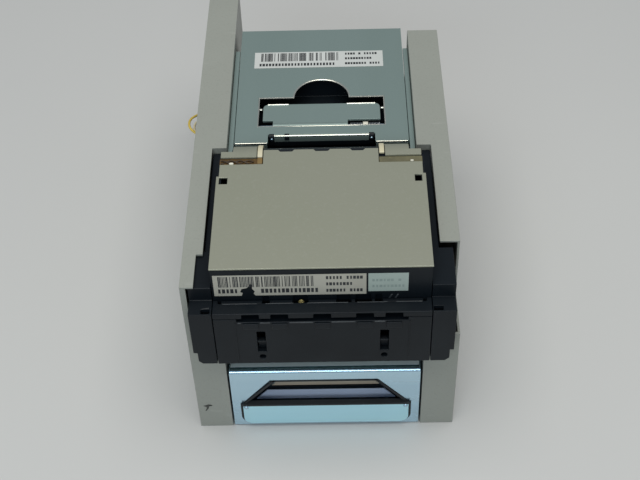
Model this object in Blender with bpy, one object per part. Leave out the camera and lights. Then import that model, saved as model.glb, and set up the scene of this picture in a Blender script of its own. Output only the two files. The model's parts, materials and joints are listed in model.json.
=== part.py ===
"""Bill validator: a sheet-steel frame with a cash drawer, a note stacker and a hinged reading head."""

import math

import bmesh
import bpy
from mathutils import Matrix, Vector

for old_object in list(bpy.data.objects):
    bpy.data.objects.remove(old_object, do_unlink=True)

# Driving dimensions, in millimetres. X runs across the object and Z up. Y runs back from the plane of the
# frame's front ends, and FRONT_PLANE is that plane's own place in the world, where the object is centred.
MM = 0.001
FRONT_PLANE = -112.5
GAP = 0.3

FRAME_HALF = 65.0
FRAME_HEIGHT = 108.0
CHANNEL_WIDTH = 16.7
SHEET = 1.2
LEFT_LENGTH = 233.0
RIGHT_LENGTH = 191.0
INNER_HALF = FRAME_HALF - CHANNEL_WIDTH
HEAD_CUT_Z = 60.0
RAIL_CUT_HALF = 55.5
RAIL_CUT_END = 94.6

DRAWER_TOP = 44.5
DRAWER_END = 182.0
DRAWER_HALF = 44.6
WINDOW_LOW = 18.8
WINDOW_HIGH = 37.6
PLATFORM_Z = 34.0

STACKER_FRONT = 102.2
STACKER_REAR = 198.3
STACKER_HALF = 45.0
STACKER_FLOOR = 46.0
STACKER_TOP = 104.1

BLOCK_FRONT = -8.0
BLOCK_HALF = 61.5
BLOCK_FLOOR = 62.0
CHEEK_HALF = 50.5
MOUTH_HALF = 39.4
MOUTH_LOW = 92.1
MOUTH_HIGH = 94.5
LEDGE_Z = 98.0
SHOULDER_Z = 106.0
HEAD_HALF = 50.3
HEAD_REAR = 94.0
BED_Z = 92.0
HEAD_TOP = 118.8

HINGE_Y = 80.0
HINGE_Z = 103.0
ROLL_AXIS = (78.0, 105.0)
ROLL_RADIUS = 12.6
FEED_Z = 82.4
FEED_WHEEL = 8.6
FEED_FRONT_Y = 18.0
FEED_REAR_Y = 78.0
BELT = 1.0
WIRE_RADIUS = 0.65

FINISHES = {
    "grey_paint": ((0.58, 0.58, 0.55), 0.45, 0.0),
    "zinc": ((0.62, 0.72, 0.78), 0.22, 0.9),
    "steel": ((0.45, 0.50, 0.51), 0.35, 0.8),
    "cover_steel": ((0.55, 0.55, 0.49), 0.40, 0.8),
    "black_plastic": ((0.02, 0.022, 0.025), 0.45, 0.0),
    "nylon": ((0.80, 0.78, 0.70), 0.45, 0.0),
    "rubber": ((0.03, 0.03, 0.03), 0.80, 0.0),
    "board": ((0.03, 0.20, 0.10), 0.50, 0.0),
    "motor": ((0.50, 0.50, 0.48), 0.35, 0.9),
    "spring": ((0.60, 0.60, 0.60), 0.30, 0.9),
    "yellow": ((0.80, 0.65, 0.20), 0.50, 0.0),
    "cream": ((0.82, 0.78, 0.62), 0.50, 0.0),
    "red": ((0.30, 0.06, 0.04), 0.50, 0.0),
}


def world(x, y, z):
    """A point in metres from millimetres measured at the frame's front plane."""
    return Vector((x, y + FRONT_PLANE, z)) * MM


def along(axis, distance, first, second):
    """A point from a distance along one axis and the other two coordinates in X, Y, Z order."""
    order = {"x": (distance, first, second), "y": (first, distance, second), "z": (first, second, distance)}
    return world(*order[axis])


def named(name, data, finish):
    """An object of the given mesh or curve, with its own material."""
    colour, roughness, metallic = FINISHES[finish]
    material = bpy.data.materials.new(name + "_finish")
    material.use_nodes = True
    shader = material.node_tree.nodes["Principled BSDF"]
    shader.inputs["Base Color"].default_value = (*colour, 1.0)
    shader.inputs["Roughness"].default_value = roughness
    shader.inputs["Metallic"].default_value = metallic
    data.materials.append(material)
    obj = bpy.data.objects.new(name, data)
    bpy.context.collection.objects.link(obj)
    return obj


def finished(name, shape, finish):
    """Turn a bmesh into a named object, with its faces pointing out."""
    bmesh.ops.recalc_face_normals(shape, faces=shape.faces)
    mesh = bpy.data.meshes.new(name)
    shape.to_mesh(mesh)
    shape.free()
    return named(name, mesh, finish)


def prism(name, axis, outline, span, finish="steel"):
    """A flat outline pushed along an axis from the first to the second number of the span."""
    shape = bmesh.new()
    rings = [[shape.verts.new(along(axis, end, *point)) for point in outline] for end in span]
    shape.faces.new(rings[0])
    shape.faces.new(rings[1])
    for near in range(len(outline)):
        far = (near + 1) % len(outline)
        shape.faces.new((rings[0][near], rings[0][far], rings[1][far], rings[1][near]))
    return finished(name, shape, finish)


def box(name, x, y, z, finish="steel"):
    """A rectangular block from its ranges on the three axes."""
    return prism(name, "z", [(x[0], y[0]), (x[1], y[0]), (x[1], y[1]), (x[0], y[1])], z, finish)


def circle(centre, radius, steps=28, start=0.0, turn=360.0):
    """Points along an arc, in degrees from the first towards the second coordinate."""
    count = steps if abs(turn) == 360.0 else steps + 1
    angles = [math.radians(start + turn * step / steps) for step in range(count)]
    return [(centre[0] + radius * math.cos(a), centre[1] + radius * math.sin(a)) for a in angles]


def turned(name, centre, profile, finish, steps=28):
    """A shape turned about an axis along X: the profile lists radius and X around a closed section."""
    shape = bmesh.new()
    rings = []
    for radius, x in profile:
        if radius == 0.0:
            rings.append([shape.verts.new(world(x, *centre))] * steps)
        else:
            rings.append([shape.verts.new(world(x, *point)) for point in circle(centre, radius, steps)])
    for index, ring in enumerate(rings):
        other = rings[(index + 1) % len(rings)]
        if profile[index][0] == 0.0 and profile[(index + 1) % len(rings)][0] == 0.0:
            continue
        for near in range(steps):
            far = (near + 1) % steps
            corners = dict.fromkeys((ring[near], ring[far], other[far], other[near]))
            shape.faces.new(list(corners))
    return finished(name, shape, finish)


def combine(obj, operation, *others):
    """Cut other shapes from an object, or fuse them to it, and keep them out of the model."""
    for other in others:
        modifier = obj.modifiers.new(other.name, "BOOLEAN")
        modifier.operation = operation
        modifier.object = other
        other.hide_render = True
        other.display_type = "WIRE"
    return obj


def cut(obj, *cutters):
    return combine(obj, "DIFFERENCE", *cutters)


def fuse(obj, *additions):
    return combine(obj, "UNION", *additions)


def origin_at(obj, x, y, z):
    """Put a moving piece's origin on its joint."""
    pivot = world(x, y, z)
    obj.data.transform(Matrix.Translation(-pivot))
    obj.location = pivot
    return obj


def rolled(obj, angle=35.0):
    """Shade a round piece smooth, with its edges kept sharp."""
    obj.data.shade_smooth()
    obj.data.set_sharp_from_angle(angle=math.radians(angle))
    return obj


def tube(name, points, radius, sides, finish):
    """A round rod or lead through points, with closed ends."""
    curve = bpy.data.curves.new(name, "CURVE")
    curve.dimensions = "3D"
    curve.bevel_depth = radius * MM
    curve.bevel_resolution = sides
    curve.use_fill_caps = True
    spline = curve.splines.new("POLY")
    spline.points.add(len(points) - 1)
    for point, place in zip(spline.points, points):
        point.co = (*world(*place), 1.0)
    return named(name, curve, finish)


def belt_outline(first, second, radius, steps=12):
    """The outline of a belt round two equal pulleys."""
    slope = math.degrees(math.atan2(second[1] - first[1], second[0] - first[0]))
    rear = circle(second, radius, steps, slope - 90.0, 180.0)
    return rear + circle(first, radius, steps, slope + 90.0, 180.0)


def belt(name, first, second, radius, x):
    """A flat belt that runs GAP clear of its pulleys."""
    band = prism(name, "x", belt_outline(first, second, radius + GAP + BELT), x, "rubber")
    inside = prism(name + "_inside", "x", belt_outline(first, second, radius + GAP), (x[0] - 1, x[1] + 1))
    return cut(band, inside)


def gear_outline(centre, teeth, module, tooth_at):
    """Teeth with straight flanks, one of them centred on the angle tooth_at, in degrees."""
    pitch_radius = teeth * module / 2
    root = pitch_radius - 1.2 * module
    tip = pitch_radius + 0.7 * module
    points = []
    for tooth in range(teeth):
        for share, radius in ((-0.27, root), (-0.10, tip), (0.10, tip), (0.27, root)):
            angle = math.radians(tooth_at + (tooth + share) * 360.0 / teeth)
            points.append((centre[0] + radius * math.cos(angle), centre[1] + radius * math.sin(angle)))
    return points


# ---------------------------------------------------------------- frame


def side_channel(name, side, length):
    """A hollow folded channel, open at the rear, cut back for the head and closed by a flap behind it."""
    outer, inner = side * FRAME_HALF, side * INNER_HALF
    low, high = min(outer, inner), max(outer, inner)
    channel = box(name, (low, high), (0.0, length), (0.0, FRAME_HEIGHT), "grey_paint")
    hollow = box(name + "_hollow", (low + SHEET, high - SHEET), (SHEET, length + 5),
                 (SHEET, FRAME_HEIGHT - SHEET))
    rail_low, rail_high = sorted((side * 40.0, side * RAIL_CUT_HALF))
    rail_cut = box(name + "_rail_cut", (rail_low, rail_high), (-5, RAIL_CUT_END),
                   (HEAD_CUT_Z, FRAME_HEIGHT + 5))
    flap = box(name + "_flap", sorted((side * (INNER_HALF + 0.7), side * RAIL_CUT_HALF)),
               (RAIL_CUT_END, RAIL_CUT_END + SHEET), (HEAD_CUT_Z, FRAME_HEIGHT - 0.8))
    return fuse(cut(channel, hollow, rail_cut), flap)


def frame_sides():
    left = side_channel("left_channel", -1, LEFT_LENGTH)
    strip = box("left_strip_cut", (-58.6, -40.0), (-5, 20.6), (HEAD_CUT_Z + 1, FRAME_HEIGHT + 5))
    front = box("left_front_cut", (-62.3, -40.0), (-5, SHEET + 0.3), (HEAD_CUT_Z + 0.5, 107.0))
    slot = box("left_wire_slot", (-70.0, -63.0), (112.0, 140.0), (84.0, 103.0))
    cut(left, strip, front, slot)
    right = side_channel("right_channel", 1, RIGHT_LENGTH)
    nose = box("right_nose_cut", (40.0, 70.0), (-5, 26.6), (72.0, FRAME_HEIGHT + 5))
    mouth = box("right_front_cut", (40.0, 62.3), (-5, SHEET + 0.3), (HEAD_CUT_Z + 0.5, 80.0))
    cut(right, nose, mouth)


def frame_floor():
    half = INNER_HALF - GAP
    section = [(-half, 0), (half, 0), (half, 14), (half - SHEET, 14), (half - SHEET, SHEET),
               (SHEET - half, SHEET), (SHEET - half, 14), (-half, 14)]
    prism("base_plate", "y", section, (3.0, 204.0), "zinc")
    angle = [(186.8, 1.5), (200.0, 1.5), (200.0, 2.7), (188.0, 2.7), (188.0, 35.4), (186.8, 35.4)]
    prism("rear_brace", "x", angle, (-46.4, 46.4), "zinc")


def stacker_guides():
    for name, side in (("stacker_guide_left", -1), ("stacker_guide_right", 1)):
        outer, wall, lip = INNER_HALF - GAP, INNER_HALF - GAP - SHEET, STACKER_HALF + GAP
        section = [(outer, 48), (outer, 104), (lip, 104), (lip, 102.8), (wall, 102.8), (wall, 48)]
        prism(name, "y", [(side * x, z) for x, z in section], (95.0, 180.0), "steel")


def smooth_route(route, steps=3):
    """Points on a smooth curve through every point of a route."""
    points = []
    for index in range(len(route) - 1):
        before = Vector(route[max(index - 1, 0)])
        start, end = Vector(route[index]), Vector(route[index + 1])
        after = Vector(route[min(index + 2, len(route) - 1)])
        for step in range(steps):
            t = step / steps
            points.append(0.5 * (2 * start + (end - before) * t
                                 + (2 * before - 5 * start + 4 * end - after) * t ** 2
                                 + (3 * start - before - 3 * end + after) * t ** 3))
    return points + [Vector(route[-1])]


def switch_and_wires():
    """The switch that senses the stacker, and its three leads, which loop out through the wall's slot."""
    box("presence_switch", (-62.0, -52.0), (146.0, 166.0), (92.0, 104.5), "black_plastic")
    yellow = [(-60.4, 145.4, 97.0), (-60.6, 141.0, 97.2), (-62.2, 136.8, 97.6), (-65.6, 133.6, 98.0),
                         (-69.4, 129.8, 98.4), (-70.6, 125.6, 98.6), (-69.6, 121.4, 98.4), (-66.4, 117.8, 98.0),
                         (-62.6, 115.0, 97.6), (-60.8, 110.6, 97.2), (-60.4, 104.0, 97.0)]
    tube("wire_yellow", smooth_route(yellow), WIRE_RADIUS, 2, "yellow")
    cream = [(-58.4, 145.4, 95.0), (-58.8, 140.6, 95.0), (-61.0, 135.6, 95.2), (-64.6, 132.2, 95.6),
                        (-67.4, 128.6, 96.0), (-68.0, 125.2, 96.2), (-67.4, 121.8, 96.0), (-64.8, 118.6, 95.6),
                        (-61.2, 115.2, 95.2), (-59.0, 110.6, 95.0), (-58.4, 104.0, 95.0)]
    tube("wire_cream", smooth_route(cream), WIRE_RADIUS, 2, "cream")
    red = [(-56.4, 145.4, 93.0), (-57.2, 139.6, 93.0), (-60.2, 134.6, 93.2), (-63.8, 131.2, 93.4),
                      (-65.9, 128.2, 93.6), (-66.4, 125.0, 93.7), (-65.9, 121.6, 93.6), (-63.8, 118.6, 93.4),
                      (-60.4, 115.4, 93.2), (-57.4, 110.6, 93.0), (-56.4, 104.0, 93.0)]
    tube("wire_red", smooth_route(red), WIRE_RADIUS, 2, "red")


# ---------------------------------------------------------------- cash drawer


def cash_drawer():
    half, wall = DRAWER_HALF, 1.0
    tray = box("drawer_tray", (-half, half), (1.6, DRAWER_END), (2.5, 42.7), "zinc")
    notes = box("drawer_notes", (wall - half, half - wall), (11.2, DRAWER_END - wall), (3.7, 50.0))
    fingers = box("drawer_fingers", (wall - half, half - wall), (-5.0, 10.0), (3.7, 50.0))
    cut(tray, notes, fingers)

    bend = circle((2.5, 42.0), 2.5, 6, 180.0, -90.0)
    inner_bend = circle((2.5, 42.0), 1.3, 6, 90.0, 90.0)
    panel = [(0.0, 0.6), *bend, (9.0, DRAWER_TOP), (9.0, DRAWER_TOP - SHEET), *inner_bend, (SHEET, 0.6)]
    front = prism("drawer_front", "x", panel, (-47.4, 47.4), "zinc")
    window = [(-42.1, WINDOW_LOW), (42.1, WINDOW_LOW), (26.1, WINDOW_HIGH), (-26.1, WINDOW_HIGH)]
    cut(rolled(front), prism("front_window", "y", window, (-5.0, 5.0)))

    lip = [(-42.0, WINDOW_LOW), *circle((-39.5, 6.2), 2.5, 5, 180.0, 90.0), *circle((39.5, 6.2), 2.5, 5, 270.0, 90.0),
           (42.0, WINDOW_LOW)]
    prism("pull_lip", "y", lip, (-1.5, -GAP), "zinc")

    cover = box("drawer_cover", (-44.4, 44.4), (11.6, 181.8), (43.1, 44.3), "zinc")
    cut(cover, box("cover_opening", (-33.0, 33.0), (18.0, 176.0), (40.0, 50.0)))

    platform = box("note_platform", (-41.0, 41.0), (14.0, 178.0), (PLATFORM_Z, PLATFORM_Z + SHEET), "steel")
    origin_at(platform, 0.0, 96.0, PLATFORM_Z)
    for name, y in (("platform_spring_front", 50.0), ("platform_spring_rear", 140.0)):
        coil(name, (0.0, y), 12.0, (5.0, PLATFORM_Z - 1.1), 5, 0.8)


def coil(name, centre, radius, z, turns, wire_radius):
    """A round wire coil that stands on end."""
    count = turns * 14
    points = []
    for step in range(count + 1):
        spot = circle(centre, radius, 1, 360.0 * turns * step / count, 0.0)[0]
        points.append((*spot, z[0] + (z[1] - z[0]) * step / count))
    tube(name, points, wire_radius, 1, "spring")


# ---------------------------------------------------------------- stacker


def stacker_case():
    half, wall = STACKER_HALF, 1.0
    housing = box("stacker_housing", (-half, half), (STACKER_FRONT, STACKER_REAR), (STACKER_FLOOR, 102.8), "steel")
    inside = box("housing_inside", (wall - half, half - wall), (STACKER_FRONT + wall, STACKER_REAR - wall),
                 (STACKER_FLOOR - 5, 110.0))
    inlet = box("housing_inlet", (-38.0, 38.0), (100.0, 105.0), (84.0, 96.0))
    flange_way = box("housing_flange_way", (-28.1, 28.1), (100.0, 105.5), (95.0, 110.0))
    pusher_way = box("housing_pusher_way", (-30.0, 30.0), (100.0, 105.0), (40.0, 59.0))
    cut(housing, inside, inlet, flange_way, pusher_way)

    bend_axis, bend, sheet = (108.9, 102.6), 1.5, 1.0
    flange_face = bend_axis[0] - bend
    outline = [(-half, STACKER_FRONT), (-27.8, STACKER_FRONT), (-27.8, 108.7), (27.8, 108.7),
               (27.8, STACKER_FRONT), (half, STACKER_FRONT), (half, STACKER_REAR), (-half, STACKER_REAR)]
    plate = prism("top_plate", "z", outline, (STACKER_TOP - sheet, STACKER_TOP), "steel")
    section = [(109.4, STACKER_TOP), *circle(bend_axis, bend, 6, 90.0, 90.0), (flange_face, 97.9),
               (flange_face + sheet, 97.9), *circle(bend_axis, bend - sheet, 6, 180.0, -90.0),
               (109.4, STACKER_TOP - sheet)]
    fuse(plate, prism("front_flange", "x", section, (-27.0, 27.0)))
    grip = [(-33.4, 115.2), (33.4, 115.2), (33.4, 138.6), *circle((0.0, 138.6), 15.0, 24, 0.0, 180.0),
            (-33.4, 138.6)]
    cut(plate, prism("grip_window", "z", grip, (95.0, 110.0)))

    pan = box("handle_recess", (-36.4, 36.4), (113.6, 156.5), (89.8, 102.8), "black_plastic")
    cut(pan, box("recess_inside", (-35.4, 35.4), (114.6, 155.5), (90.8, 110.0)))


def stacker_handle():
    pivot = (117.6, 101.4)
    corner = 3.0
    roll_start, roll_end = -25.6, 13.8
    outline = [(-31.0, 121.4), (roll_start, 121.4), (roll_start, 119.0), (roll_end, 119.0), (roll_end, 121.4),
               (31.0, 121.4), *circle((31.0 - corner, 134.5 - corner), corner, 5, 0.0, 90.0),
               *circle((corner - 31.0, 134.5 - corner), corner, 5, 90.0, 90.0)]
    handle = prism("handle", "z", outline, (101.6, 102.8), "steel")
    ring = [(1.3, roll_start), (1.3, roll_end), (2.1, roll_end), (2.1, roll_start)]
    fuse(handle, turned("handle_roll", pivot, ring, "steel", 20))
    origin_at(handle, 0.0, *pivot)
    pin = [(0.0, -35.1), (0.9, -35.1), (0.9, 35.1), (0.0, 35.1)]
    rolled(turned("handle_pin", pivot, pin, "zinc", 16))


def note_path():
    """The guides that lead a note from the head round the drum and down to the drawer."""
    box("inlet_guide", (-27.6, 27.6), (96.6, 101.8), (95.6, 101.0), "black_plastic")
    track = [(96.8, 90.2), (96.8, 91.2), (112.0, 87.4), (136.0, 86.4), (136.0, 85.4), (112.0, 86.4)]
    prism("note_track", "x", track, (-37.5, 37.5), "black_plastic")
    drum_axis = (150.0, 72.0)
    profile = [(0.0, -43.4), (2.5, -43.4), (2.5, -34.0), (12.4, -34.0), (13.0, -33.4), (13.0, 33.4),
               (12.4, 34.0), (2.5, 34.0), (2.5, 43.4), (0.0, 43.4)]
    drum = rolled(turned("transport_drum", drum_axis, profile, "rubber", 32))
    origin_at(drum, 0.0, *drum_axis)
    guide = [*circle(drum_axis, 15.0, 16, 80.0, -190.0), (114.0, 48.5), (114.0, 47.5),
             *circle(drum_axis, 16.0, 16, -110.0, 190.0)]
    prism("drum_guide", "x", guide, (-37.0, 37.0), "black_plastic")


def pusher():
    """The plate that presses notes into the drawer, with its two racks, and the shaft that drives them."""
    plate = box("pusher_plate", (-26.0, 26.0), (24.0, 111.5), (50.0, 51.4), "steel")
    shaft_axis = (117.15, 66.0)
    module, teeth = 1.0, 16
    pitch = math.pi * module
    line = shaft_axis[0] - 0.15 - teeth * module / 2
    for side in (-1, 1):
        ends = sorted((side * 20.0, side * 24.0))
        rack = [(line - 4.8, 50.4), (line - 1.2 * module, 50.4)]
        for tooth in range(-3, 6):
            middle = shaft_axis[1] + (tooth + 0.5) * pitch
            rack += [(line - 1.2 * module, middle - 0.27 * pitch), (line + 0.7 * module, middle - 0.10 * pitch),
                     (line + 0.7 * module, middle + 0.10 * pitch), (line - 1.2 * module, middle + 0.27 * pitch)]
        rack += [(line - 1.2 * module, 84.8), (line - 4.8, 84.8)]
        rib = sorted((side * 21.0, side * 23.0))
        fuse(plate, prism("rack_%d" % side, "x", rack, ends),
             box("pusher_rib_%d" % side, rib, (26.0, line - 3.0), (51.0, 57.5)))
    origin_at(plate, 0.0, 60.0, 50.0)

    bar = [(0.0, -43.4), (2.5, -43.4), (2.5, 43.4), (0.0, 43.4)]
    shaft = turned("pusher_shaft", shaft_axis, bar, "steel", 20)
    for side in (-1, 1):
        ends = sorted((side * 20.2, side * 23.8))
        outline = gear_outline(shaft_axis, teeth, module, 180.0)
        fuse(shaft, prism("pinion_%d" % side, "x", outline, ends))
    origin_at(shaft, 0.0, *shaft_axis)
    return shaft_axis


def stacker_drive(shaft_axis):
    motor_axis = (180.0, 70.0)
    ring = [(2.8, 37.6), (2.8, 41.4), (7.0, 41.4), (7.0, 37.6)]
    origin_at(rolled(turned("stacker_pulley", shaft_axis, ring, "nylon")), 0.0, *shaft_axis)
    profile = [(0.0, 36.4), (1.5, 36.4), (1.5, 37.6), (7.0, 37.6), (7.0, 41.4), (1.5, 41.4), (1.5, 42.4), (0.0, 42.4)]
    origin_at(rolled(turned("motor_pulley", motor_axis, profile, "nylon")), 0.0, *motor_axis)
    case = [(0.0, 6.0), (8.2, 6.0), (9.0, 6.8), (9.0, 35.3), (8.2, 36.1), (0.0, 36.1)]
    rolled(turned("stacker_motor", motor_axis, case, "motor"))
    belt("stacker_belt", shaft_axis, motor_axis, 7.0, (38.0, 41.0))


# ---------------------------------------------------------------- head, fixed part


def entrance():
    """The black note entrance: two cheeks, a lower lip and an upper lip with the mouth between them."""
    profile = [(BLOCK_FRONT, BLOCK_FLOOR), (BLOCK_FRONT, LEDGE_Z), (1.0, LEDGE_Z), (1.0, SHOULDER_Z),
               (24.3, SHOULDER_Z), (24.3, BLOCK_FLOOR)]
    for name, side in (("cheek_left", -1), ("cheek_right", 1)):
        cheek = prism(name, "x", profile, sorted((side * (CHEEK_HALF + 0.15), side * BLOCK_HALF)), "black_plastic")
        step = box(name + "_step", sorted((side * 59.6, side * 65.0)), (-12.0, 30.0), (58.0, 70.0))
        corner = [(side * 57.6, 60.0), (side * 57.6, 62.0), (side * 59.6, 64.0), (side * 62.0, 64.0),
                  (side * 62.0, 60.0)]
        cut(cheek, step, prism(name + "_corner", "y", corner, (-12.0, 30.0)))

    half = CHEEK_HALF - 0.15
    post = MOUTH_HIGH - GAP
    lower = [(-half, BLOCK_FLOOR), (half, BLOCK_FLOOR), (half, post), (MOUTH_HALF, post),
             (MOUTH_HALF, MOUTH_LOW), (-MOUTH_HALF, MOUTH_LOW), (-MOUTH_HALF, post), (-half, post)]
    lip = prism("lower_entrance", "y", lower, (BLOCK_FRONT, 1.7), "black_plastic")
    cut(lip, *[box("entrance_slot_%d" % side, sorted((side * 26.7, side * 30.7)), (-12.0, 5.0), (70.5, 85.3))
               for side in (-1, 1)])
    upper = box("upper_entrance", (-half, half), (BLOCK_FRONT, 0.7), (MOUTH_HIGH, LEDGE_Z), "black_plastic")
    cut(upper, *[box("upper_notch_%d" % index, (x - 4.0, x + 4.0), (-12.0, -5.6), (MOUTH_HIGH - 2, LEDGE_Z - 0.8))
                 for index, x in enumerate((-33.0, -19.6, 0.0, 19.6, 33.0))])


def head_body():
    body = box("lower_guide", (-HEAD_HALF, HEAD_HALF), (2.0, HEAD_REAR), (62.8, BED_Z), "black_plastic")
    inside = box("guide_inside", (-48.3, 48.3), (4.0, 92.0), (58.0, 90.0))
    belts = [box("belt_slot_%d" % side, sorted((side * 8.0, side * 16.0)), (7.6, 88.4), (85.0, 96.0))
             for side in (-1, 1)]
    latch_slot = box("latch_slot", (44.4, 47.9), (6.0, 19.5), (85.0, 96.0))
    cut(body, inside, *belts, latch_slot)
    box("bottom_cover", (-49.8, 49.8), (2.4, 93.6), (61.3, 62.5), "steel")
    for name, side in (("side_rail_left", -1), ("side_rail_right", 1)):
        ends = sorted((side * (CHEEK_HALF + 0.5), side * (RAIL_CUT_HALF - GAP)))
        box(name, ends, (24.6, HEAD_REAR), (62.8, 105.0), "black_plastic")
    box("main_board", (-40.0, 40.0), (10.0, 64.0), (64.5, 66.1), "board")
    shaft = [(0.0, -50.7), (1.9, -50.7), (1.9, 50.7), (0.0, 50.7)]
    rolled(turned("hinge_shaft", (HINGE_Y, HINGE_Z), shaft, "steel", 20))


def feed_rollers():
    for name, y in (("front_feed_roller", FEED_FRONT_Y), ("rear_feed_roller", FEED_REAR_Y)):
        profile = [(0.0, -46.0), (2.0, -46.0), (2.0, -15.0), (FEED_WHEEL, -15.0), (FEED_WHEEL, -9.0), (2.0, -9.0),
                   (2.0, 9.0), (FEED_WHEEL, 9.0), (FEED_WHEEL, 15.0), (2.0, 15.0), (2.0, 46.0), (0.0, 46.0)]
        origin_at(rolled(turned(name, (y, FEED_Z), profile, "nylon", 24)), 0.0, y, FEED_Z)
    for name, side in (("feed_belt_left", -1), ("feed_belt_right", 1)):
        ends = sorted((side * 9.2, side * 14.8))
        belt(name, (FEED_FRONT_Y, FEED_Z), (FEED_REAR_Y, FEED_Z), FEED_WHEEL, ends)

    module, gear_teeth, pinion_teeth = 0.7, 18, 10
    lean = 225.0
    reach = module * (gear_teeth + pinion_teeth) / 2 + 0.15
    gear_axis = (FEED_REAR_Y, FEED_Z)
    pinion_axis = circle(gear_axis, reach, 1, lean, 0.0)[0]
    gear = prism("feed_gear", "x", gear_outline(gear_axis, gear_teeth, module, lean), (41.5, 44.6), "nylon")
    bore = turned("feed_gear_bore", gear_axis, [(0.0, 40.0), (2.3, 40.0), (2.3, 46.0), (0.0, 46.0)], "nylon", 20)
    origin_at(cut(gear, bore), 0.0, *gear_axis)
    gap_at = lean + 180.0 + 180.0 / pinion_teeth
    pinion = prism("motor_pinion", "x", gear_outline(pinion_axis, pinion_teeth, module, gap_at), (41.2, 44.9), "steel")
    origin_at(pinion, 0.0, *pinion_axis)
    case = [(0.0, 18.0), (6.6, 18.0), (7.2, 18.6), (7.2, 40.3), (6.6, 40.9), (0.0, 40.9)]
    rolled(turned("feed_motor", pinion_axis, case, "motor", 24))


# ---------------------------------------------------------------- head, hinged part


def upper_body():
    arc = circle(ROLL_AXIS, ROLL_RADIUS, 8, 20.0, 70.0)
    outline = [(1.0, 94.3), (70.0, 94.3), (76.5, 98.5), (84.5, 98.5), (86.0, 103.0), *arc, (1.0, 117.6)]
    shell = prism("upper_shell", "x", outline, (-HEAD_HALF, HEAD_HALF), "black_plastic")
    hollow = [(3.0, 95.9), (69.4, 95.9), (74.8, 99.4), (74.8, 125.0), (3.0, 125.0)]
    bore = turned("hinge_bore", (HINGE_Y, HINGE_Z), [(0.0, -60.0), (2.3, -60.0), (2.3, 60.0), (0.0, 60.0)],
                  "steel", 20)
    slots = [box("pinch_slot_%d_%d" % (side, y), sorted((side * 8.0, side * 16.0)), (y - 7.0, y + 7.0), (90.0, 97.0))
             for side in (-1, 1) for y in (18, 60)]
    latch_slot = box("shell_latch_slot", (44.4, 47.9), (6.0, 19.5), (90.0, 97.0))
    corners = [box("shell_corner_%d" % side, sorted((side * 44.0, side * 55.0)), (76.8, 100.0), (90.0, 125.0))
               for side in (-1, 1)]
    cut(shell, prism("shell_hollow", "x", hollow, (-48.3, 48.3)), bore, *slots, latch_slot, *corners)
    origin_at(shell, 0.0, HINGE_Y, HINGE_Z)


def covers():
    """The metal cover on the hinged part, and the two rolled covers over its hinge."""
    right = [(50.6, 1.0), (50.6, 62.0), (49.4, 62.0), (49.4, 70.3), (28.3, 70.3), (28.3, 80.5)]
    for start, end in ((21.8, 14.4), (4.5, -3.6), (-13.2, -21.1)):
        right += [(start, 80.5), (start - 1.0, 79.1), (end + 1.0, 79.1), (end, 80.5)]
    left = [(-28.3, 80.5), (-28.3, 70.3), (-49.4, 70.3), (-49.4, 62.0), (-50.6, 62.0), (-50.6, 1.0)]
    cover = prism("top_cover", "z", right + left, (HEAD_TOP - 0.9, HEAD_TOP), "cover_steel")
    holes = [box("cover_hole_left", (-49.2, -45.1), (56.5, 61.1), (110.0, 125.0)),
             box("cover_hole_right", (45.2, 48.7), (56.5, 61.1), (110.0, 125.0))]
    origin_at(cut(cover, *holes), 0.0, HINGE_Y, HINGE_Z)
    rolled_sheet = [(75.4, HEAD_TOP - 0.9), *circle(ROLL_AXIS, ROLL_RADIUS + 0.3, 8, 90.0, -58.0),
                    *circle(ROLL_AXIS, ROLL_RADIUS + 1.2, 8, 32.0, 58.0), (75.4, HEAD_TOP)]
    for name, side in (("hinge_cover_left", -1), ("hinge_cover_right", 1)):
        sheet = prism(name, "x", rolled_sheet, sorted((side * 31.6, side * 43.4)), "cover_steel")
        tab = box(name + "_tab", sorted((side * 42.0, side * 49.2)), (75.4, 79.6), (HEAD_TOP - 0.9, HEAD_TOP))
        origin_at(fuse(rolled(sheet), tab), 0.0, HINGE_Y, HINGE_Z)


def upper_works():
    board = box("upper_board", (-43.0, 43.0), (8.0, 68.0), (104.4, 106.0), "board")
    origin_at(board, 0.0, HINGE_Y, HINGE_Z)
    for name, y in (("pinch_roller_front", 18.0), ("pinch_roller_rear", 60.0)):
        profile = [(0.0, -22.0), (1.5, -22.0), (1.5, -15.0), (5.0, -15.0), (5.0, -9.0), (1.5, -9.0),
                   (1.5, 9.0), (5.0, 9.0), (5.0, 15.0), (1.5, 15.0), (1.5, 22.0), (0.0, 22.0)]
        origin_at(rolled(turned(name, (y, 97.8), profile, "nylon", 20)), 0.0, y, 97.8)
    lever = [(8.8, 109.0), (8.8, 100.0), (10.5, 98.0), (10.5, 88.0), (15.0, 88.0), (15.0, 90.0), (12.8, 90.8),
             (12.8, 98.0), (15.4, 100.5), (26.0, 105.5), (26.0, 109.0)]
    pivot = (12.1, 104.3)
    obj = prism("release_lever", "x", lever, (45.2, 47.2), "nylon")
    bore = turned("lever_bore", pivot, [(0.0, 44.0), (1.5, 44.0), (1.5, 49.0), (0.0, 49.0)], "nylon", 16)
    origin_at(cut(obj, bore), 0.0, *pivot)


frame_sides()
frame_floor()
stacker_guides()
switch_and_wires()
cash_drawer()
stacker_case()
stacker_handle()
note_path()
stacker_drive(pusher())
entrance()
head_body()
feed_rollers()
upper_body()
covers()
upper_works()
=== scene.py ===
"""Bill validator: a painted steel frame with a cash drawer, a note stacker and a black reading head."""

import json
import math

import bmesh
import bpy
from mathutils import Matrix, Vector

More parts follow.
